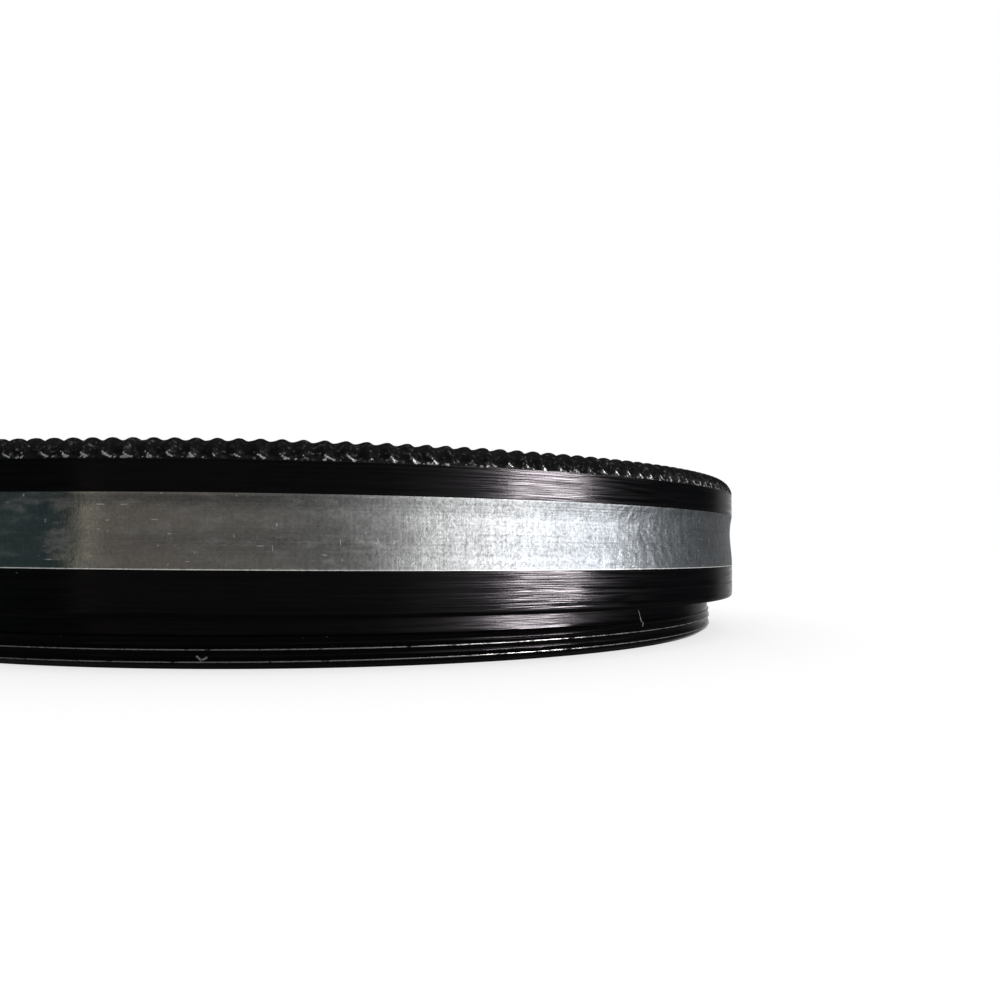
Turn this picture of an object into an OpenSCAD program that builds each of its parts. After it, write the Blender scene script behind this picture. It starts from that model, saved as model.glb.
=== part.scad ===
// A round screw-in warming filter for a camera lens. It stands on the foot of its mounting skirt, at z = 0,
// with its front rim up and its optical axis on +Z. It is three pieces: a turned aluminium ring, an amber
// glass disc that sits on a ledge inside it, and a thin threaded ring that holds the glass from the front.

/* [Body of the ring] */
// Diameter across the body
body_d = 57.9; // [30:0.1:100]
// Wall of the body at the front thread, from the body's surface to the thread's crests
rim_wall = 1.8; // [1.5:0.01:4]
// Height of the black band under the bare band
lower_band_h = 1.88; // [1:0.01:4]
// Height of the bare metal band
bare_band_h = 3.07; // [2:0.01:6]
// Depth to which the bare band is dished
bare_band_depth = 0.125; // [0.02:0.005:0.4]
// Height of the black band over the bare band, up to the knurl
upper_band_h = 1.4; // [0.5:0.01:4]
// Rounding of the lower corner of the body
corner_r = 0.12; // [0.05:0.01:0.4]

/* [Knurl on the front shoulder] */
// Number of teeth
teeth = 206; // [60:1:400]
// Radius of the rounded shoulder that carries the teeth
shoulder_r = 0.88; // [0.5:0.01:1.2]
// Depth of a tooth, from its crest to the valley beside it
tooth_depth = 0.11; // [0.04:0.01:0.2]

/* [Mounting skirt] */
// Height of the skirt under the body
skirt_h = 2.24; // [1.5:0.01:5]
// Step from the body's surface in to the crests of the mounting thread, which are 55 mm across
thread_step = 1.45; // [0.5:0.01:2]
// Length of the mounting thread, with its chamfer
thread_l = 1.35; // [0.8:0.01:2]
// Depth of the plain relief between the thread and the body
relief_depth = 0.22; // [0.05:0.01:0.5]
// Height of the chamfer at the foot
foot_chamfer_h = 0.29; // [0.1:0.01:0.5]
// Width of the chamfer at the foot
foot_chamfer_w = 0.45; // [0.1:0.01:0.6]

/* [Glass and its seat] */
// Width of the ledge that the glass sits on, in from the wall of its pocket
ledge_w = 0.95; // [0.5:0.01:4]
// Height of that ledge over the underside of the body
ledge_h = 0.36; // [0.1:0.01:1.5]
// Thickness of the glass
glass_t = 2.4; // [1.5:0.05:2.8]
// Ground bevel at each edge of the glass
glass_bevel = 0.2; // [0.1:0.01:0.4]
// Gap around the glass in its pocket
glass_gap = 0.1; // [0.05:0.01:0.2]
// How far the glass stands out of its pocket, so that the retaining ring bears on it
glass_stand = 0.4; // [0.1:0.01:0.6]

/* [Retaining ring and front thread] */
// Step from the crests of the front thread in to the threaded wall that holds the retaining ring
retainer_step = 0.3; // [0.1:0.01:0.6]
// Step from that wall in to the pocket of the glass
pocket_step = 0.4; // [0.1:0.01:1]
// Gap between the retaining ring and the wall that holds it
retainer_gap = 0.03; // [0.01:0.01:0.1]
// Width of the retaining ring, from its rim to its opening
retainer_w = 1.22; // [0.9:0.01:4]
// Thickness of the retaining ring
retainer_t = 1.4; // [1:0.05:1.8]
// Width of the bevel inside the retaining ring
retainer_bevel = 0.5; // [0.1:0.01:0.8]
// Width of its two spanner slots
slot_w = 1.6; // [1:0.1:4]
// Depth of the spanner slots
slot_depth = 0.8; // [0.3:0.05:0.95]
// Width of the lead-in chamfer of the front thread, which takes another filter or a hood
front_chamfer = 0.3; // [0.1:0.01:0.5]

/* [Hidden] */
$fn = 180;

body_r = body_d / 2;
thread_r = body_r - thread_step;
relief_r = thread_r - relief_depth;
front_r = body_r - rim_wall;
retainer_r = front_r - retainer_step;
pocket_r = retainer_r - pocket_step;
glass_r = pocket_r - glass_gap;
aperture_r = pocket_r - ledge_w;

lower_band_top = skirt_h + lower_band_h;
bare_band_top = lower_band_top + bare_band_h;
knurl_z = bare_band_top + upper_band_h;
crest_z = knurl_z + shoulder_r;
face_z = crest_z - tooth_depth;
shoulder_x = body_r - shoulder_r;

ledge_z = skirt_h + ledge_h;
glass_top = ledge_z + glass_t;
pocket_top = glass_top - glass_stand;
retainer_top = glass_top + retainer_t;

// The teeth stand this far inside the body's surface, and their root reaches this far into its metal
knurl_inset = 0.02;
knurl_root = 0.3;
// Straight steps that a tooth takes round the shoulder, the band up its height and the corner round its turn
shoulder_steps = 4;
band_steps = 12;
corner_steps = 4;
// Share of the bare band's height that stays full size at its lower edge, and the power that puts
// the deepest place of the dish in the band's upper third
band_land = 0.07;
band_skew = 1.45;
// How far a cut runs past the face that it opens
past_face = 1;

// Depth of the dish as a share of its full depth, at a share of the band's height
function band_dish(s) = sin(180 * pow(max(s - band_land, 0) / (1 - band_land), band_skew));

function band_outline() = [
    for (i = [0 : band_steps])
        let (s = i / band_steps)
        [body_r - bare_band_depth * band_dish(s), lower_band_top + bare_band_h * s]
];

function corner_outline() = [
    for (i = [0 : corner_steps])
        let (a = 90 * i / corner_steps)
        [body_r - corner_r + corner_r * sin(a), skirt_h + corner_r - corner_r * cos(a)]
];

module turned_body() {
    rotate_extrude()
        polygon(concat(
            [
                [aperture_r, 0],
                [thread_r - foot_chamfer_w, 0],
                [thread_r, foot_chamfer_h],
                [thread_r, thread_l],
                [relief_r, thread_l],
                [relief_r, skirt_h]
            ],
            corner_outline(),
            band_outline(),
            [
                [body_r, knurl_z],
                [shoulder_x, knurl_z],
                [shoulder_x, face_z],
                [front_r + front_chamfer, face_z],
                [front_r, face_z - front_chamfer],
                [front_r, retainer_top],
                [retainer_r, retainer_top],
                [retainer_r, pocket_top],
                [pocket_r, pocket_top],
                [pocket_r, ledge_z],
                [aperture_r, ledge_z]
            ]
        ));
}

// Section through the knurl, at a depth under the crests of the teeth
function tooth_section(depth) = concat(
    [[body_r - knurl_inset - depth, knurl_z - knurl_root]],
    [
        for (i = [0 : shoulder_steps])
            let (a = 90 * i / shoulder_steps, r = shoulder_r - depth)
            [shoulder_x - knurl_inset + r * cos(a), knurl_z + r * sin(a)]
    ],
    [[shoulder_x - knurl_root, knurl_z - knurl_root]]
);

// A belt of teeth round the shoulder, with sections through crest and valley in turn
module knurl() {
    around = 2 * teeth;
    across = shoulder_steps + 3;
    points = [
        for (i = [0 : around - 1], p = tooth_section(i % 2 == 0 ? 0 : tooth_depth))
            let (a = 360 * i / around)
            [p[0] * cos(a), p[0] * sin(a), p[1]]
    ];
    faces = [
        for (i = [0 : around - 1], j = [0 : across - 1])
            let (n = (i + 1) % around, k = (j + 1) % across)
            each [
                [i * across + j, i * across + k, n * across + k],
                [i * across + j, n * across + k, n * across + j]
            ]
    ];
    polyhedron(points, faces);
}

module filter_ring() {
    color("dimgray") {
        turned_body();
        knurl();
    }
}

module filter_glass() {
    color("sandybrown")
        translate([0, 0, ledge_z])
            rotate_extrude()
                polygon([
                    [0, 0],
                    [glass_r - glass_bevel, 0],
                    [glass_r, glass_bevel],
                    [glass_r, glass_t - glass_bevel],
                    [glass_r - glass_bevel, glass_t],
                    [0, glass_t]
                ]);
}

module spanner_slots() {
    translate([-retainer_r, -slot_w / 2, retainer_top - slot_depth])
        cube([2 * retainer_r, slot_w, slot_depth + past_face]);
}

module retaining_ring() {
    rim_r = retainer_r - retainer_gap;
    bore_r = rim_r - retainer_w;
    color("black")
        difference() {
            translate([0, 0, glass_top])
                rotate_extrude()
                    polygon([
                        [bore_r, 0],
                        [rim_r, 0],
                        [rim_r, retainer_t],
                        [bore_r + retainer_bevel, retainer_t],
                        [bore_r, retainer_t - retainer_bevel]
                    ]);
            spanner_slots();
        }
}

filter_ring();
filter_glass();
retaining_ring();
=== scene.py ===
"""Looks of a round screw-in warming filter for a camera lens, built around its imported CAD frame."""

import math

import bmesh
import bpy
import numpy as np
from mathutils import Matrix, Vector


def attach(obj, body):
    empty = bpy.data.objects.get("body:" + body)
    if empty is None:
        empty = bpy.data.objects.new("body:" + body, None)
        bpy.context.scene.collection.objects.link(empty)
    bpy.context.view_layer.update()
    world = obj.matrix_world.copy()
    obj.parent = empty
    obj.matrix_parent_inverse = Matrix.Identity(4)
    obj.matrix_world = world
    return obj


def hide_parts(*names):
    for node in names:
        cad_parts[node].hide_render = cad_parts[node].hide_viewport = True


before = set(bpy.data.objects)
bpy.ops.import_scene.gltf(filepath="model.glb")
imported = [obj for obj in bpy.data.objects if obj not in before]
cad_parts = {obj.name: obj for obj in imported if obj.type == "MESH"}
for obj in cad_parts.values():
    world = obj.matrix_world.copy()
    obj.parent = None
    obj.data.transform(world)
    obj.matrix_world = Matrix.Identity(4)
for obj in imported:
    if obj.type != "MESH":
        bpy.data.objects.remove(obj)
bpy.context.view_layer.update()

# Lengths are in millimetres here, as in the part's source, and go to metres when a mesh is made
MM = 0.001
rng = np.random.default_rng(11)

# Radii, from the outside in
BODY_R = 28.95
THREAD_R = 27.5
THREAD_ROOT_R = 27.42
RELIEF_R = 27.34
FRONT_ROOT_R = 27.42
FRONT_R = 27.15
RETAINER_WALL_R = 26.85
RETAINER_RIM_R = 26.82
POCKET_R = 26.45
GLASS_R = 26.35
RETAINER_BORE_R = 25.6
APERTURE_R = 25.5

# Mounting skirt: foot with its chamfer and the broken edge of that, thread, relief, and the
# corner of the body over it
FOOT_CHAMFER_H = 0.29
FOOT_CHAMFER_W = 0.45
FOOT_BREAK = 0.012
THREAD_LOW = 0.05
THREAD_TOP = 1.35
THREAD_CREST_Z = 0.32
RELIEF_SECTION = ((27.386, 1.42), (27.377, 1.5), (27.368, 1.6), (27.357, 1.75))
RELIEF_FILLET = 0.06
SKIRT_TOP = 2.2
CORNER_R = 0.12
CORNER_H = 0.27

# The bare band is dished over a flat land at its lower edge, deepest two thirds of the way up
LOWER_BAND_TOP = 4.12
BARE_BAND_TOP = 7.19
BAND_ROWS = 18
BAND_LAND = 0.07
BAND_SKEW = 1.45
DISH = 0.125

# Knurled shoulder, whose ragged lower edge wanders up and down by about RAGGED
KNURL_Z = 8.59
SHOULDER_R = 0.88
SHOULDER_X = 28.05
TOOTH_DEPTH = 0.125
RAGGED = 0.02

# Front face, lead-in chamfer with its lip, and the crest of the front thread
FACE_Z = 9.345
FRONT_CHAMFER = 0.3
FRONT_LIP = 0.03
FRONT_CREST_Z = 6.7

# Heights inside the ring
LEDGE_Z = 2.6
GLASS_TOP = 5.0
POCKET_TOP = 4.6
RETAINER_TOP = 6.4

# Columns of points round the ring, two for a tooth, and FINE times as many on the knurl
TEETH = 206
COLUMNS = 2 * TEETH
FINE = 5
# Angle of the first crest of the knurl, from +X
CREST_ANGLE = -0.4501 - math.pi / 2

# Finishes, as places in the list of a piece's materials
ANODISED, BARE, KNURLED = 0, 1, 2
POLISHED, GROUND = 0, 1

# Points of a mesh that are closer than this, in metres, become one
MERGE_DISTANCE = 1e-7
SHARP_DEGREES = 32.0


class Surface:
    """Rows of points round the axis, joined one to the next into a closed mesh."""

    def __init__(self):
        self.points = []
        self.wear = []
        self.count = 0
        self.faces = []
        self.finish = []
        self.last = None
        self.first = None

    def add(self, radius, height, angles, wear=0.0):
        """Adds a row of points and returns their numbers."""
        n = len(angles)
        radius = np.broadcast_to(radius, n)
        height = np.broadcast_to(height, n)
        self.points.append(
            np.column_stack([radius * np.cos(angles), radius * np.sin(angles), height])
        )
        self.wear.append(np.broadcast_to(wear, n))
        self.count += n
        return np.arange(self.count - n, self.count)

    def fill(self, finish, *corners):
        """Adds faces. Each corner is a row of points, one for each face."""
        made = np.column_stack(corners)
        self.faces += made.tolist()
        self.finish += [finish] * len(made)

    def join(self, a, b, finish=ANODISED):
        """Faces from row a to row b. One may have FINE points for each point of the other."""
        if len(a) == len(b):
            self.fill(finish, a, np.roll(a, -1), np.roll(b, -1), b)
            return
        coarse, fine = (a, b) if len(a) < len(b) else (b, a)
        following = np.roll(coarse, -1)
        steps = [fine[k::FINE] for k in range(FINE)] + [np.roll(fine[0::FINE], -1)]
        flip = len(a) > len(b)
        # With FINE at 5, two triangles fan from each coarse point, with one quad between them
        for k in (0, 1, 3, 4):
            hub = coarse if k < 2 else following
            if flip:
                self.fill(finish, steps[k], steps[k + 1], hub)
            else:
                self.fill(finish, hub, steps[k + 1], steps[k])
        if flip:
            self.fill(finish, steps[2], steps[3], following, coarse)
        else:
            self.fill(finish, coarse, following, steps[3], steps[2])

    def go(self, row, finish=ANODISED):
        """Joins a row to the last one and makes it the last."""
        if self.last is not None:
            self.join(self.last, row, finish)
        else:
            self.first = row
        self.last = row

    def close(self):
        """Joins the last row to the first one."""
        self.join(self.last, self.first)

    def mesh(self, name):
        """Makes the mesh, in metres, with the wear of each point as an attribute."""
        made = bpy.data.meshes.new(name)
        made.from_pydata((np.concatenate(self.points) * MM).tolist(), [], self.faces)
        made.polygons.foreach_set("material_index", np.array(self.finish, np.int32))
        attribute = made.attributes.new("wear", "FLOAT", "POINT")
        attribute.data.foreach_set("value", np.concatenate(self.wear).astype(np.float32))
        work = bmesh.new()
        work.from_mesh(made)
        bmesh.ops.remove_doubles(work, verts=work.verts, dist=MERGE_DISTANCE)
        bmesh.ops.dissolve_degenerate(work, edges=work.edges, dist=MERGE_DISTANCE)
        work.to_mesh(made)
        work.free()
        made.polygons.foreach_set("use_smooth", np.ones(len(made.polygons), bool))
        made.set_sharp_from_angle(angle=math.radians(SHARP_DEGREES))
        made.update()
        return made


def arc(centre_r, centre_z, radius, start, end, steps):
    """Points of an arc in the section, from start to end in degrees, with 0 outward and 90 up."""
    return [
        (
            centre_r + radius * math.cos(math.radians(a)),
            centre_z + radius * math.sin(math.radians(a)),
        )
        for a in np.linspace(start, end, steps + 1)
    ]


# Both threads have this pitch, and flats of these half widths on their crests and in their roots
PITCH = 0.5
CREST_HALF = 0.018
ROOT_HALF = 0.04

# Rows of one turn of a thread, as shares of its pitch from the middle of the crest
THREAD_ROWS = (0.0, 0.036, 0.07, 0.26, 0.40, 0.5, 0.60, 0.74, 0.93, 0.964)
FRONT_THREAD_ROWS = (0.036, 0.07, 0.42, 0.58, 0.93, 0.964)

# Wear of the crests, less near the thread's upper end, over the first share of the depth
CREST_WEAR = 0.8
END_CREST_WEAR = 0.38
END_LENGTH = 0.1
WORN_SHARE = 0.06


def thread_depth(share):
    """Depth under the crest, from 0 to 1, at a share of the pitch."""
    s = np.minimum(share, 1 - share) * PITCH
    return np.clip((s - CREST_HALF) / (PITCH / 2 - CREST_HALF - ROOT_HALF), 0, 1)


def thread(surface, angles, low, high, crest_z, radius_at, shares=THREAD_ROWS, upward=True):
    """A helical thread between two heights. Returns its lowest and its highest row.

    radius_at gives the radius for a depth and a height. upward says which way its faces look: a
    thread that is built from low to high is on the outside of the ring.
    """
    n = len(angles)
    rise = PITCH * np.arange(n) / n
    per_turn = len(shares)
    first = math.floor((low - crest_z - PITCH) / PITCH) - 1
    last = math.ceil((high - crest_z) / PITCH) + 1
    levels = [crest_z + PITCH * (m + share) for m in range(first, last) for share in shares]
    rows = []
    for level in levels:
        z = np.clip(level + rise, low, high)
        share = np.mod((z - rise - crest_z) / PITCH, 1.0)
        depth = thread_depth(share)
        worn = np.where(z > high - END_LENGTH, END_CREST_WEAR, CREST_WEAR)
        worn = worn * np.clip(1 - depth / WORN_SHARE, 0, 1)
        rows.append(surface.add(radius_at(depth, z), z, angles, worn))
    grid = np.array(rows)
    top = len(grid) - 1
    # The end of each row meets the start of the row that is one turn further up
    for q in range(top):
        here, above = grid[q], grid[q + 1]
        here_next = np.append(here[1:], grid[min(q + per_turn, top)][0])
        above_next = np.append(above[1:], grid[min(q + 1 + per_turn, top)][0])
        if upward:
            surface.fill(ANODISED, here, here_next, above_next, above)
        else:
            surface.fill(ANODISED, here, above, above_next, here_next)
    return grid[0], grid[top]


def build_ring():
    """The turned ring: up its outside from the foot, over its front and down its inside."""
    surface = Surface()
    angles = CREST_ANGLE + 2 * math.pi * np.arange(COLUMNS) / COLUMNS
    fine_angles = CREST_ANGLE + 2 * math.pi * np.arange(COLUMNS * FINE) / (COLUMNS * FINE)

    def plain(points, finish=ANODISED, wear=0.0):
        for r, z in points:
            surface.go(surface.add(r, z, angles, wear), finish)

    # Foot, from its inner edge outward
    soft = 0.05
    foot_r = THREAD_R - FOOT_CHAMFER_W
    plain(arc(APERTURE_R + soft, soft, soft, 180, 270, 3))
    plain([(26.2, 0.0)])
    plain([(foot_r - 0.03, 0.0)], wear=0.15)
    plain([(foot_r + FOOT_BREAK, FOOT_BREAK)], wear=0.35)

    # Mounting thread, cut back by the chamfer at the foot
    slope = FOOT_CHAMFER_W / FOOT_CHAMFER_H

    def mounting_radius(depth, z):
        turned = THREAD_R - (THREAD_R - THREAD_ROOT_R) * depth
        return np.minimum(turned, foot_r + FOOT_BREAK + slope * (z - FOOT_BREAK))

    low_row, high_row = thread(
        surface, angles, THREAD_LOW, THREAD_TOP, THREAD_CREST_Z, mounting_radius
    )
    surface.join(surface.last, low_row)
    surface.last = high_row

    # Relief over the thread, turned slightly hollow and running out at the thread
    plain([(27.405, THREAD_TOP + 0.02)], wear=0.1)
    plain(RELIEF_SECTION)
    plain([(RELIEF_R + 0.009, 1.9), (RELIEF_R + 0.009, 2.1)])
    plain(arc(RELIEF_R + RELIEF_FILLET, SKIRT_TOP - RELIEF_FILLET, RELIEF_FILLET, 180, 90, 3))

    # Underside of the body and its rounded corner, which is higher than it is deep
    plain([(27.9, SKIRT_TOP)])
    for a in np.linspace(0, math.pi / 2, 9):
        r = BODY_R - CORNER_R * (1 - math.sin(a))
        plain([(r, SKIRT_TOP + CORNER_H * (1 - math.cos(a)))], wear=0.03)

    # Lower black band, bare band with a painted highlight along its lower edge, and upper black band
    plain([(BODY_R, 2.9), (BODY_R, LOWER_BAND_TOP - 0.01)])
    # Wear on these rows wears the black finish through at the band's edge, and on the bare finish
    # paints a near-white, partly matt line: a painted highlight of the band's land
    plain([(BODY_R, LOWER_BAND_TOP)], wear=0.85)
    plain([(BODY_R, LOWER_BAND_TOP + 0.03)], BARE, 0.75)
    plain([(BODY_R, LOWER_BAND_TOP + 0.045)], BARE)
    band_height = BARE_BAND_TOP - LOWER_BAND_TOP
    for s in np.linspace(0, 1, BAND_ROWS + 1)[1:]:
        share = max(s - BAND_LAND, 0) / (1 - BAND_LAND)
        dish = DISH * math.sin(math.pi * share**BAND_SKEW)
        plain([(BODY_R - dish, LOWER_BAND_TOP + band_height * s)], BARE)
    plain([(BODY_R, 7.6), (BODY_R, KNURL_Z - 0.07)])

    # Knurl: rounded teeth that lean a little, run out at their lower ends, each with a burr that
    # runs down to the right from the tooth's foot. Each point has its place across its tooth, from
    # -0.5 to 0.5, five values of the tooth's own, and two jitters
    n_fine = len(fine_angles)
    phase = (np.arange(n_fine) % (2 * FINE)) / (2.0 * FINE)
    across = np.where(phase < 0.5, phase, phase - 1.0)
    tooth = (np.arange(n_fine) + FINE) // (2 * FINE) % TEETH
    own = rng.random((TEETH, 5))[tooth].T
    jitter = rng.normal(0.0, 1.0, (2, n_fine))
    leaning = np.mod(across + 0.6, 1.0) - 0.5
    leaning -= 0.105 * np.cos(math.pi * leaning)
    # Share of the groove's depth that is cut away, 0 on a crest and about 1 in a valley
    groove = (0.5 - 0.5 * np.cos(2 * math.pi * leaning)) ** 1.2
    groove *= 0.90 + 0.10 * own[0]
    ragged = np.convolve(np.tile(jitter[0], 3), np.ones(3) / 3, "same")[n_fine : 2 * n_fine]
    edge_z = KNURL_Z + RAGGED * ragged

    def burr(height):
        """Strength of the burr, from 0 to 1, at a height over the knurl's lower edge.

        It starts near the middle of its tooth, and drops and thins out as it goes along the edge.
        """
        start = -0.08 + 0.07 * (own[1] - 0.5)
        along = (across - start) / (0.36 + 0.16 * own[2])
        middle = (0.18 + 0.09 * own[3]) * np.clip(1 - along, 0, 1) ** 1.8 + 0.02
        thick = 0.034 + (0.028 + 0.028 * own[4]) * np.clip(1 - along, 0, 1)
        reach = np.clip(1.35 - np.abs(2 * along - 1.0), 0, 1)
        near = np.exp(-(((height - middle) / thick) ** 2))
        return near * reach * (0.55 + 0.45 * own[2])

    # Two rows along the lower edge, where small flakes of the finish have come off
    flakes = np.clip(0.8 * jitter[1] - 0.15, 0, 1)
    surface.go(surface.add(BODY_R, edge_z - 0.045, fine_angles, 0.6 * flakes), KNURLED)
    edge_burr = np.clip(burr(0.0) + flakes, 0, 1)
    inset = 0.012 + 0.03 * groove - 0.02 * edge_burr
    edge_r = BODY_R - np.maximum(inset, 0.003)
    surface.go(surface.add(edge_r, edge_z, fine_angles, edge_burr), KNURLED)

    # Rows round the shoulder, in degrees from level to upright, with the depth of the grooves
    turns = (1.9, 3.9, 6.3, 9, 11.8, 14.5, 17.8, 22, 30, 40, 50, 60, 70, 80, 90)
    depths = np.interp(
        turns, (0, 4, 8, 14, 50, 76, 90), (0.03, 0.10, 0.18, 0.23, 0.24, 0.18, TOOTH_DEPTH)
    )
    for degrees, depth in zip(turns, depths):
        angle = math.radians(degrees)
        height = SHOULDER_R * math.sin(angle)
        stands = burr(height)
        low_flakes = flakes * max(0.0, 1 - height / 0.08)
        cut = depth * groove - 0.05 * stands
        r = SHOULDER_X + (SHOULDER_R - cut) * math.cos(angle)
        r = np.minimum(r, BODY_R - 0.002)
        z = KNURL_Z + (SHOULDER_R - cut) * math.sin(angle)
        z = z + RAGGED * ragged * max(0.0, 1 - degrees / 10)
        worn = np.clip(stands + low_flakes + 0.04, 0, 1)
        surface.go(surface.add(r, z, fine_angles, worn), KNURLED)

    # The teeth stand over the front face and run down to it
    stand = TOOTH_DEPTH * (1 - groove)
    for r, share in ((27.98, 0.92), (27.91, 0.6), (27.84, 0.0)):
        surface.go(surface.add(r, FACE_Z + stand * share, fine_angles, 0.04), KNURLED)

    # Front face, lead-in chamfer and front thread
    plain([(27.8, FACE_Z), (27.6, FACE_Z)])
    lip_r = FRONT_R + FRONT_CHAMFER + FRONT_LIP
    plain(arc(lip_r, FACE_Z - FRONT_LIP, FRONT_LIP, 90, 135, 2), wear=0.3)
    chamfer_low = FACE_Z - FRONT_CHAMFER

    def front_radius(depth, z):
        turned = FRONT_R + (FRONT_ROOT_R - FRONT_R) * depth
        return np.maximum(turned, FRONT_R + np.maximum(z - chamfer_low, 0.0))

    low_row, high_row = thread(
        surface,
        angles,
        RETAINER_TOP + 0.02,
        FACE_Z - 0.06,
        FRONT_CREST_Z,
        front_radius,
        FRONT_THREAD_ROWS,
        upward=False,
    )
    surface.join(surface.last, high_row)
    surface.last = low_row
    plain([(FRONT_R, RETAINER_TOP), (RETAINER_WALL_R, RETAINER_TOP)])

    # Wall of the retaining ring, pocket and ledge of the glass, and the opening behind it. The
    # walls have rows part of the way down, which keep their faces short
    plain([(RETAINER_WALL_R, 5.5), (RETAINER_WALL_R, POCKET_TOP), (POCKET_R, POCKET_TOP)])
    plain([(POCKET_R, 3.6), (POCKET_R, LEDGE_Z), (APERTURE_R + 0.04, LEDGE_Z)])
    plain([(APERTURE_R, LEDGE_Z - 0.04)], wear=0.1)
    plain([(APERTURE_R, 2.25), (APERTURE_R, 1.1)])
    surface.close()
    return surface.mesh("filter_ring_turned")


def build_glass():
    """The amber disc, polished on both sides, with a ground edge and bevels."""
    surface = Surface()
    n = 360
    angles = 2 * math.pi * np.arange(n) / n
    bevel = 0.2
    flat = (0.02, 9.0, 18.0)

    def plain(points, finish=POLISHED):
        for r, z in points:
            surface.go(surface.add(r, z, angles), finish)

    plain([(r, LEDGE_Z) for r in (*flat, GLASS_R - bevel)])
    plain([(GLASS_R, LEDGE_Z + bevel), (GLASS_R, GLASS_TOP - bevel)], GROUND)
    plain([(GLASS_R - bevel, GLASS_TOP)], GROUND)
    plain([(r, GLASS_TOP) for r in reversed(flat)])
    # A small face closes the middle of each side
    for row in (surface.first[::-1], surface.last):
        surface.faces.append(row.tolist())
        surface.finish.append(POLISHED)
    return surface.mesh("filter_glass_disc")


def build_retainer():
    """The thin ring in front of the glass, with a fine thread round it and two spanner slots."""
    n = 720
    rim = RETAINER_RIM_R
    bore = RETAINER_BORE_R
    top = RETAINER_TOP
    slot_half = 0.8
    slot_middle_r = 26.2
    slot_floor = top - 0.8
    surface = Surface()
    # Each side of a slot has one column just inside it and one just outside, for an upright wall
    edge = math.asin(slot_half / slot_middle_r)
    hair = 1e-6
    sides = np.array([edge, math.pi - edge, math.pi + edge, 2 * math.pi - edge])
    even = 2 * math.pi * (np.arange(n) + 0.5) / n
    angles = np.sort(np.concatenate([even, sides - hair, sides + hair]))
    offset = np.mod(angles + math.pi / 2, math.pi) - math.pi / 2
    inside = np.abs(offset) < edge

    def height(z):
        return np.where(inside, np.minimum(z, slot_floor), z)

    # Underside, then roots and crests of the rim's thread by turns, then top face, bevel and bore
    thread_low = GLASS_TOP + 0.05
    thread_step = 0.115
    thread_cut = 0.08
    rows = [
        (bore, GLASS_TOP + 0.03),
        (bore + 0.03, GLASS_TOP),
        (rim - 0.05, GLASS_TOP),
        (rim, thread_low),
    ]
    for k in range(1, 11):
        rows.append((rim - (thread_cut if k % 2 else 0.0), thread_low + k * thread_step))
    rows += [
        (rim, top - 0.05),
        (rim - 0.05, top),
        (bore + 0.9, top),
        (bore + 0.54, top),
        (bore + 0.5, top - 0.012),
        (bore + 0.25, top - 0.25),
        (bore + 0.015, top - 0.485),
        (bore, top - 0.52),
        (bore, GLASS_TOP + 0.45),
    ]
    for r, z in rows:
        surface.go(surface.add(r, height(z), angles, 0.05))
    surface.close()
    return surface.mesh("retaining_ring_turned")


def node(tree, kind, inputs=None, **settings):
    """Adds a shader node. An input that is a socket is linked, and any other value is set."""
    made = tree.nodes.new("ShaderNode" + kind)
    for name, value in settings.items():
        setattr(made, name, value)
    for key, value in (inputs or {}).items():
        if isinstance(value, bpy.types.NodeSocket):
            tree.links.new(value, made.inputs[key])
        else:
            made.inputs[key].default_value = value
    return made


def calc(tree, operation, a, b=0.0, c=0.0, clamp=False):
    """Result of a maths node."""
    return node(tree, "Math", {0: a, 1: b, 2: c}, operation=operation, use_clamp=clamp).outputs[0]


def remap(tree, value, low, high, to_low=0.0, to_high=1.0):
    """Maps a value from one range to another, held at the ends."""
    inputs = {"Value": value, "From Min": low, "From Max": high}
    inputs.update({"To Min": to_low, "To Max": to_high})
    return node(tree, "MapRange", inputs).outputs["Result"]


def blend(tree, factor, a, b):
    """Mixes two colours."""
    made = node(tree, "Mix", data_type="RGBA")
    for socket, value in zip((made.inputs[0], made.inputs[6], made.inputs[7]), (factor, a, b)):
        if isinstance(value, bpy.types.NodeSocket):
            tree.links.new(value, socket)
        else:
            socket.default_value = value
    return made.outputs[2]


def new_material(name):
    """A new material, its node tree, its shader, and the place of a point on the object."""
    made = bpy.data.materials.new(name)
    made.use_nodes = True
    tree = made.node_tree
    tree.nodes.clear()
    output = tree.nodes.new("ShaderNodeOutputMaterial")
    shader = tree.nodes.new("ShaderNodeBsdfPrincipled")
    tree.links.new(shader.outputs[0], output.inputs["Surface"])
    place = tree.nodes.new("ShaderNodeTexCoord").outputs["Object"]
    return made, tree, shader, place


def noise(tree, place, scales, detail, roughness, seed):
    """Noise stretched by a scale for each axis, in cells per millimetre."""
    scaled = node(
        tree,
        "Mapping",
        {"Vector": place, "Location": (seed, seed, seed), "Scale": [s / MM for s in scales]},
    )
    inputs = {"Vector": scaled.outputs[0], "Scale": 1.0, "Detail": detail, "Roughness": roughness}
    return node(tree, "TexNoise", inputs).outputs["Fac"]


def link(tree, shader, **sockets):
    """Links what is given to the shader."""
    names = {"colour": "Base Color", "metal": "Metallic", "rough": "Roughness", "normal": "Normal"}
    for key, socket in sockets.items():
        tree.links.new(socket, shader.inputs[names[key]])


def bump(tree, height, distance, before=None):
    """Normal of a bump, whose height times the distance is in millimetres, over one before it."""
    inputs = {"Height": height, "Strength": 1.0, "Distance": distance * MM}
    if before is not None:
        inputs["Normal"] = before
    return node(tree, "Bump", inputs).outputs["Normal"]


# Scratches on the mounting skirt, each from one end to the other, as degrees to the right of the
# front and height, and half of its width
SKIRT_SCRATCHES = (
    ((-10.03, 0.59), (-9.52, 0.39), 0.045),
    ((-9.62, 0.41), (-9.10, 0.53), 0.050),
    ((36.16, 1.97), (36.50, 1.56), 0.030),
    ((36.46, 1.60), (36.80, 1.14), 0.055),
)


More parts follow.
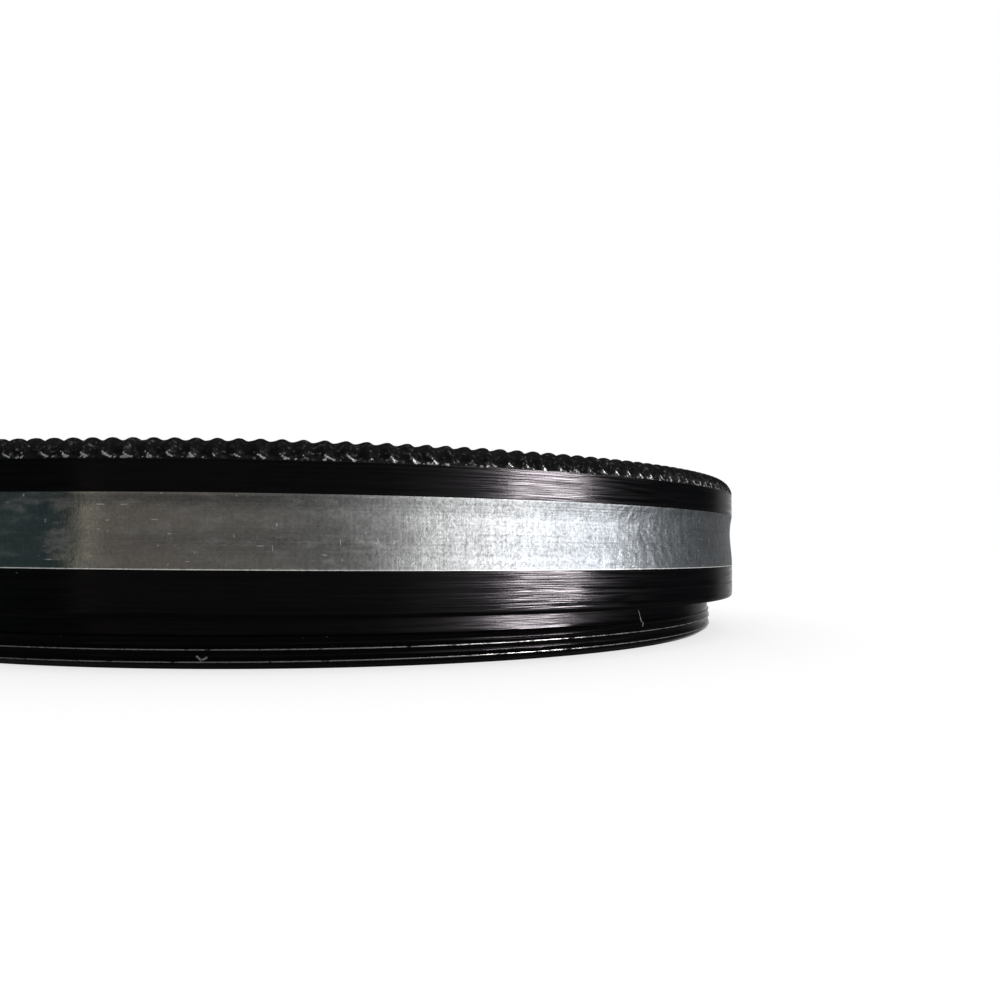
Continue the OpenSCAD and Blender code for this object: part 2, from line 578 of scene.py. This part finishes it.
def scratch(tree, place, start, end, half_width):
    """Mask of a straight scratch on the skirt."""
    way = node(tree, "SeparateXYZ", {0: place}).outputs
    turn = calc(tree, "ARCTAN2", way["X"], calc(tree, "MULTIPLY", way["Y"], -1.0))
    first, last = (Vector((math.radians(a) * THREAD_R, z)) for a, z in (start, end))
    length = (last - first).length
    along = (last - first).normalized()
    measured = []
    for axis in (along, Vector((-along.y, along.x))):
        from_start = calc(tree, "MULTIPLY_ADD", way["Z"], axis.y / MM, -axis.dot(first))
        measured.append(calc(tree, "MULTIPLY_ADD", turn, axis.x * THREAD_R, from_start))
    within = calc(tree, "COMPARE", measured[0], length / 2, length / 2)
    aside = calc(tree, "ABSOLUTE", measured[1])
    return calc(tree, "MULTIPLY", within, remap(tree, aside, half_width, 0.4 * half_width))


def black_anodise(name, roughness=0.17, specular=0.30, line_depth=0.0105, scratches=()):
    """Dyed anodised aluminium with turning lines, worn through to bright metal on its edges."""
    made, tree, shader, place = new_material(name)
    coarse = noise(tree, place, (0.01, 0.01, 6.5), 1.0, 0.6, 1.7)
    fine = noise(tree, place, (0.3, 0.3, 15.0), 1.0, 0.6, 5.1)
    grain = noise(tree, place, (9.0, 9.0, 9.0), 4.0, 0.65, 2.3)
    # Worn through along rubbed edges, raggedly, and in a few specks elsewhere
    worn = node(tree, "Attribute", attribute_name="wear").outputs["Fac"]
    patches = noise(tree, place, (2.2, 2.2, 5.0), 4.0, 0.7, 8.8)
    reach = calc(tree, "MULTIPLY_ADD", patches, 1.6, -0.90)
    mask = remap(tree, calc(tree, "ADD", worn, reach), 0.50, 0.80)
    mask = calc(tree, "MAXIMUM", mask, remap(tree, patches, 0.745, 0.775))
    for start, end, half_width in scratches:
        mark = calc(tree, "MULTIPLY", scratch(tree, place, start, end, half_width), grain)
        mask = calc(tree, "MULTIPLY_ADD", mark, 1.5, mask, clamp=True)
    dull = noise(tree, place, (0.7, 0.7, 1.4), 3.0, 0.6, 4.4)
    dark = blend(tree, dull, (0.0002, 0.0002, 0.0003, 1), (0.0007, 0.0007, 0.0009, 1))
    metal = blend(tree, grain, (0.25, 0.25, 0.25, 1), (0.70, 0.70, 0.68, 1))
    colour = blend(tree, mask, dark, metal)
    lines = calc(tree, "MULTIPLY_ADD", fine, 1.1, coarse)
    rough = remap(tree, lines, 0.90, 1.20, roughness - 0.05, roughness + 0.07)
    rough = calc(tree, "MULTIPLY_ADD", mask, 0.15, rough)
    normal = bump(tree, lines, line_depth)
    normal = bump(tree, grain, 0.001, normal)
    link(tree, shader, colour=colour, metal=mask, rough=rough, normal=normal)
    shader.inputs["Specular IOR Level"].default_value = specular
    shader.inputs["Specular Tint"].default_value = (1.0, 0.93, 0.99, 1)
    return made


def knurled_anodise(name):
    """The same finish on the teeth: duller and pitted, with bright burrs and specks."""
    made, tree, shader, place = new_material(name)
    grain = noise(tree, place, (6.0, 6.0, 6.0), 4.0, 0.75, 2.3)
    lumps = noise(tree, place, (3.2, 3.2, 4.5), 3.0, 0.6, 6.1)
    # Bright along the burrs, in broken bits, with duller specks between them
    worn = node(tree, "Attribute", attribute_name="wear").outputs["Fac"]
    broken = noise(tree, place, (8.0, 8.0, 8.0), 3.0, 0.6, 4.8)
    reach = calc(tree, "MULTIPLY_ADD", broken, 1.1, -0.55)
    mask = remap(tree, calc(tree, "ADD", worn, reach), 0.41, 0.60)
    specks = remap(tree, grain, 0.56, 0.76)
    specks = calc(tree, "MULTIPLY", specks, remap(tree, lumps, 0.38, 0.56))
    dark = blend(tree, lumps, (0.0003, 0.0003, 0.0003, 1), (0.0030, 0.0038, 0.0036, 1))
    dark = blend(tree, specks, dark, (0.23, 0.24, 0.24, 1))
    metal = blend(tree, grain, (0.70, 0.70, 0.69, 1), (0.98, 0.98, 0.96, 1))
    colour = blend(tree, mask, dark, metal)
    rough = calc(tree, "MULTIPLY_ADD", lumps, 0.20, 0.30)
    rough = calc(tree, "MULTIPLY_ADD", mask, 0.08, rough)
    normal = bump(tree, lumps, 0.03)
    normal = bump(tree, grain, 0.02, normal)
    link(tree, shader, colour=colour, metal=mask, rough=rough, normal=normal)
    shader.inputs["Specular IOR Level"].default_value = 0.3
    return made


def bare_metal(name):
    """Brushed bare aluminium with fine cross marks, pits and handling marks, a painted bluish
    reflection on one side and a painted highlight along its lower edge.
    """
    made, tree, shader, place = new_material(name)
    brushed = noise(tree, place, (0.05, 0.05, 9.0), 3.0, 0.65, 3.2)
    upright = noise(tree, place, (7.0, 7.0, 0.2), 3.0, 0.65, 6.5)
    grain = noise(tree, place, (7.0, 7.0, 7.0), 4.0, 0.75, 1.1)
    mottle = noise(tree, place, (1.6, 1.6, 1.6), 4.0, 0.65, 9.4)
    wide = noise(tree, place, (0.3, 0.3, 0.6), 3.0, 0.6, 14.0)
    pits = remap(tree, noise(tree, place, (6.0, 6.0, 6.0), 3.0, 0.7, 12.0), 0.66, 0.72)
    # Frosted on one side of the ring, blotched further round, and polished by handling on the rest;
    # the darker bluish colour painted between frost and blotches is a painted reflection
    side = node(tree, "SeparateXYZ", {0: place}).outputs["X"]
    side = calc(tree, "MULTIPLY_ADD", wide, 6 * MM, side)
    frost = remap(tree, side, 0.0, 9.0 * MM)
    # Share of the painted bluish reflection, round the ring from where the frost begins
    painted_reflection_share = remap(tree, side, 8.5 * MM, 15.5 * MM)
    blotched = remap(tree, side, 14.0 * MM, 18.0 * MM)
    blotches = noise(tree, place, (1.9, 1.9, 2.2), 1.0, 0.5, 7.7)
    smears = remap(tree, noise(tree, place, (0.8, 0.8, 2.2), 3.0, 0.6, 16.0), 0.50, 0.66)
    smears = calc(tree, "MULTIPLY", smears, calc(tree, "SUBTRACT", 1.0, frost))
    # Short scratches along the band and across it
    along = remap(tree, noise(tree, place, (1.5, 1.5, 15.0), 1.0, 0.5, 18.0), 0.765, 0.785)
    ticks = remap(tree, noise(tree, place, (11.0, 11.0, 1.9), 1.0, 0.5, 21.0), 0.76, 0.78)
    marks = calc(tree, "MULTIPLY", calc(tree, "MAXIMUM", along, ticks), 0.6)
    # On this finish the wear marks only the band's lower edge, which is painted near-white as a
    # painted highlight
    edge = node(tree, "Attribute", attribute_name="wear").outputs["Fac"]
    # Light and dark of the surface, from its grain, mottle and brushing together
    tone = calc(tree, "MULTIPLY", grain, 0.50)
    tone = calc(tree, "MULTIPLY_ADD", mottle, 0.14, tone)
    tone = calc(tree, "MULTIPLY_ADD", upright, 0.18, tone)
    tone = calc(tree, "MULTIPLY_ADD", brushed, 0.18, tone)
    tone = remap(tree, tone, 0.40, 0.60)
    frosted = blend(tree, tone, (0.27, 0.285, 0.285, 1), (0.72, 0.74, 0.74, 1))
    polished = blend(tree, tone, (0.66, 0.67, 0.67, 1), (0.92, 0.92, 0.90, 1))
    colour = blend(tree, frost, polished, frosted)
    # Painted reflection: this darker bluish colour stands for dim bluish surroundings reflected on
    # this side
    painted_reflection_colour = blend(tree, tone, (0.145, 0.16, 0.17, 1), (0.38, 0.41, 0.43, 1))
    colour = blend(tree, painted_reflection_share, colour, painted_reflection_colour)
    colour = blend(tree, calc(tree, "MULTIPLY", pits, frost), colour, (0.12, 0.12, 0.13, 1))
    # Scratches, and the painted highlight of the lower edge, go near white
    colour = blend(tree, calc(tree, "MAXIMUM", edge, marks), colour, (0.90, 0.90, 0.88, 1))
    rough = calc(tree, "MULTIPLY_ADD", mottle, 0.06, 0.05)
    rough = calc(tree, "MULTIPLY_ADD", smears, 0.16, rough)
    rough = calc(tree, "MULTIPLY_ADD", frost, 0.43, rough)
    rough = calc(tree, "MULTIPLY_ADD", blotched, -0.14, rough)
    # The scratches, and the edge with its painted highlight, are partly matt
    diffuse = calc(tree, "MULTIPLY_ADD", marks, 0.35, calc(tree, "MULTIPLY", edge, grain))
    metal = calc(tree, "MULTIPLY_ADD", diffuse, -1.0, 1.0, clamp=True)
    lines = calc(tree, "MULTIPLY_ADD", upright, 0.6, brushed)
    depth = calc(tree, "MULTIPLY_ADD", frost, 0.8, 0.2)
    normal = bump(tree, calc(tree, "MULTIPLY", blotches, blotched), 0.035)
    normal = bump(tree, calc(tree, "MULTIPLY", mottle, depth), 0.012, normal)
    normal = bump(tree, calc(tree, "MULTIPLY", lines, depth), 0.010, normal)
    normal = bump(tree, calc(tree, "MULTIPLY", grain, depth), 0.012, normal)
    link(tree, shader, colour=colour, metal=metal, rough=rough, normal=normal)
    return made


def amber_glass(name, ground=False):
    """Amber optical glass with faint smears, or its finely ground edge."""
    made, tree, shader, place = new_material(name)
    smear = noise(tree, place, (0.12, 0.2, 0.2), 4.0, 0.6, 2.0)
    if ground:
        grit = noise(tree, place, (8.0, 8.0, 8.0), 3.0, 0.6, 7.0)
        colour = blend(tree, grit, (0.72, 0.50, 0.32, 1), (0.88, 0.66, 0.46, 1))
        rough = calc(tree, "MULTIPLY_ADD", grit, 0.2, 0.42)
        normal = bump(tree, grit, 0.004)
        link(tree, shader, normal=normal)
    else:
        colour = blend(tree, smear, (0.985, 0.80, 0.60, 1), (0.975, 0.79, 0.59, 1))
        rough = remap(tree, smear, 0.5, 0.8, 0.0, 0.06)
    link(tree, shader, colour=colour, rough=rough)
    shader.inputs["Transmission Weight"].default_value = 1.0
    shader.inputs["IOR"].default_value = 1.52
    return made


def add_piece(mesh, name, node_name, materials):
    """Puts a mesh in the scene as the piece that stands for a CAD node."""
    made = bpy.data.objects.new(name, mesh)
    bpy.context.scene.collection.objects.link(made)
    for material in materials:
        mesh.materials.append(material)
    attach(made, "root")
    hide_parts(node_name)


anodised = black_anodise("black_anodise", scratches=SKIRT_SCRATCHES)
bare = bare_metal("bare_brushed_metal")
knurled = knurled_anodise("black_anodise_knurled")
add_piece(
    build_ring(), "filter_ring_turned", "filter_ring", [anodised, bare, knurled]
)
add_piece(
    build_glass(),
    "filter_glass_disc",
    "filter_glass",
    [amber_glass("amber_glass"), amber_glass("ground_glass_edge", ground=True)],
)
add_piece(
    build_retainer(),
    "retaining_ring_turned",
    "retaining_ring",
    [black_anodise("black_anodise_matt", roughness=0.42, specular=0.4, line_depth=0.02)],
)


def build_floor():
    """A floor that looks white, and throws light back on the object as a plain pale one does."""
    half = 3.0
    mesh = bpy.data.meshes.new("floor")
    corners = [(-half, -half, 0), (half, -half, 0), (half, half, 0), (-half, half, 0)]
    mesh.from_pydata(corners, [], [(0, 1, 2, 3)])
    made = bpy.data.objects.new("floor", mesh)
    bpy.context.scene.collection.objects.link(made)
    material = bpy.data.materials.new("pale_floor")
    material.use_nodes = True
    tree = material.node_tree
    tree.nodes.clear()
    output = tree.nodes.new("ShaderNodeOutputMaterial")
    path = node(tree, "LightPath")
    seen = calc(tree, "MAXIMUM", path.outputs["Is Camera Ray"], path.outputs["Is Glossy Ray"])
    seen = calc(tree, "MAXIMUM", seen, path.outputs["Is Transmission Ray"])
    plain = node(tree, "BsdfDiffuse", {"Color": (0.80, 0.80, 0.79, 1)})
    soft = node(tree, "BsdfDiffuse", {"Color": (0.45, 0.45, 0.45, 1)})
    glow = node(tree, "Emission", {"Color": (1, 1, 1, 1), "Strength": 0.69})
    both = node(tree, "AddShader", {0: soft.outputs[0], 1: glow.outputs[0]})
    mixed = node(tree, "MixShader", {0: seen, 1: plain.outputs[0], 2: both.outputs[0]})
    tree.links.new(mixed.outputs[0], output.inputs["Surface"])
    mesh.materials.append(material)
    made.visible_glossy = False
    made.visible_shadow = False


def direction_from(azimuth, elevation):
    """Unit vector from the object, at degrees to the right of the front and over the horizon."""
    a, e = math.radians(azimuth), math.radians(elevation)
    return Vector((math.sin(a) * math.cos(e), -math.cos(a) * math.cos(e), math.sin(e)))


def add_softbox(name, azimuth, elevation, distance, width, height, power, colour):
    """A lamp with a rectangular face, turned towards the middle of the object. Metres and watts."""
    middle = Vector((0, 0, 0.005))
    lamp = bpy.data.lights.new(name, "AREA")
    lamp.shape = "RECTANGLE"
    lamp.size = width
    lamp.size_y = height
    lamp.energy = power
    lamp.color = colour
    made = bpy.data.objects.new(name, lamp)
    bpy.context.scene.collection.objects.link(made)
    towards = direction_from(azimuth, elevation)
    made.location = towards * distance + middle
    made.rotation_mode = "QUATERNION"
    made.rotation_quaternion = towards.to_track_quat("Z", "Y")
    made.visible_camera = False


def build_world():
    """White behind the object, and dim warm surroundings in front of it for what metal reflects."""
    world = bpy.data.worlds.new("studio")
    bpy.context.scene.world = world
    world.use_nodes = True
    tree = world.node_tree
    tree.nodes.clear()
    output = tree.nodes.new("ShaderNodeOutputWorld")
    way = node(tree, "SeparateXYZ", {0: node(tree, "TexCoord").outputs["Generated"]})
    back = calc(tree, "MULTIPLY", way.outputs["Y"], -1.0)
    azimuth = calc(tree, "ARCTAN2", way.outputs["X"], back)
    share = remap(tree, azimuth, -math.pi, math.pi)
    ramp = tree.nodes.new("ShaderNodeValToRGB")
    tree.links.new(share, ramp.inputs[0])
    # Colours round the horizon, at degrees to the right of the front
    stops = (
        (-180, (1.0, 1.0, 1.0)),
        (-158, (1.0, 1.0, 1.0)),
        (-140, (0.04, 0.05, 0.05)),
        (-57, (0.016, 0.026, 0.027)),
        (-53, (0.030, 0.034, 0.030)),
        (-52, (0.07, 0.07, 0.055)),
        (-51, (0.27, 0.255, 0.205)),
        (-49.5, (0.21, 0.195, 0.155)),
        (-48.5, (0.100, 0.090, 0.080)),
        (0, (0.105, 0.101, 0.095)),
        (16, (0.12, 0.12, 0.12)),
        (34, (0.45, 0.45, 0.45)),
        (50, (0.60, 0.60, 0.60)),
        (64, (0.15, 0.15, 0.15)),
        (74, (0.03, 0.034, 0.038)),
        (96, (0.020, 0.024, 0.028)),
        (119, (0.012, 0.014, 0.016)),
        (124, (0.04, 0.04, 0.04)),
        (129, (0.18, 0.18, 0.18)),
        (136, (0.24, 0.24, 0.24)),
        (158, (1.0, 1.0, 1.0)),
        (180, (1.0, 1.0, 1.0)),
    )
    ramp.color_ramp.elements[0].position = 0.0
    ramp.color_ramp.elements[1].position = 1.0
    ramp.color_ramp.elements[0].color = (*stops[0][1], 1)
    ramp.color_ramp.elements[1].color = (*stops[-1][1], 1)
    for degrees, colour in stops[1:-1]:
        made = ramp.color_ramp.elements.new((degrees + 180) / 360)
        made.color = (*colour, 1)
    # Gloss also sees dark over and under the horizon and a soft glow overhead. Matt surfaces get an
    # even light, and anything else sees white
    tilt = calc(tree, "ABSOLUTE", way.outputs["Z"])
    around = blend(tree, remap(tree, tilt, 0.14, 0.34), ramp.outputs[0], (0.03, 0.03, 0.03, 1))
    overhead = remap(tree, way.outputs["Z"], 0.80, 0.98)
    around = blend(tree, overhead, around, (0.25, 0.25, 0.25, 1))
    path = node(tree, "LightPath")
    colour = blend(tree, path.outputs["Is Glossy Ray"], (1, 1, 1, 1), around)
    diffuse = path.outputs["Is Diffuse Ray"]
    colour = blend(tree, diffuse, colour, (0.7, 0.7, 0.7, 1))
    glow = node(tree, "Background", {"Color": colour, "Strength": 1.0})
    tree.links.new(glow.outputs[0], output.inputs["Surface"])


def build_camera():
    """The photo's viewpoint: close in front of the ring and a little over half its height."""
    focal_pixels, image_pixels, sensor = 875.0, 1000.0, 36.0
    yaw, pitch, roll = 0.2043, 0.0551, 0.0084
    distance, height = 64.76, 5.08
    forward = Vector(
        (math.sin(yaw) * math.cos(pitch), math.cos(yaw) * math.cos(pitch), math.sin(pitch))
    )
    right = Vector((math.cos(yaw), -math.sin(yaw), 0))
    up = right.cross(forward)
    x = right * math.cos(roll) + up * math.sin(roll)
    y = up * math.cos(roll) - right * math.sin(roll)
    z = -forward
    data = bpy.data.cameras.new("camera")
    data.sensor_width = sensor
    data.lens = focal_pixels / image_pixels * sensor
    data.clip_start = 0.001
    data.clip_end = 50.0
    made = bpy.data.objects.new("camera", data)
    bpy.context.scene.collection.objects.link(made)
    made.matrix_world = Matrix(
        (
            (x.x, y.x, z.x, 0.0),
            (x.y, y.y, z.y, -distance * MM),
            (x.z, y.z, z.z, height * MM),
            (0, 0, 0, 1),
        )
    )
    bpy.context.scene.camera = made


build_floor()
build_world()
add_softbox(
    "softbox",
    azimuth=52,
    elevation=2.5,
    distance=0.30,
    width=0.10,
    height=0.032,
    power=0.54,
    colour=(1.0, 0.97, 0.98),
)
build_camera()

bpy.context.scene.view_settings.view_transform = "Standard"
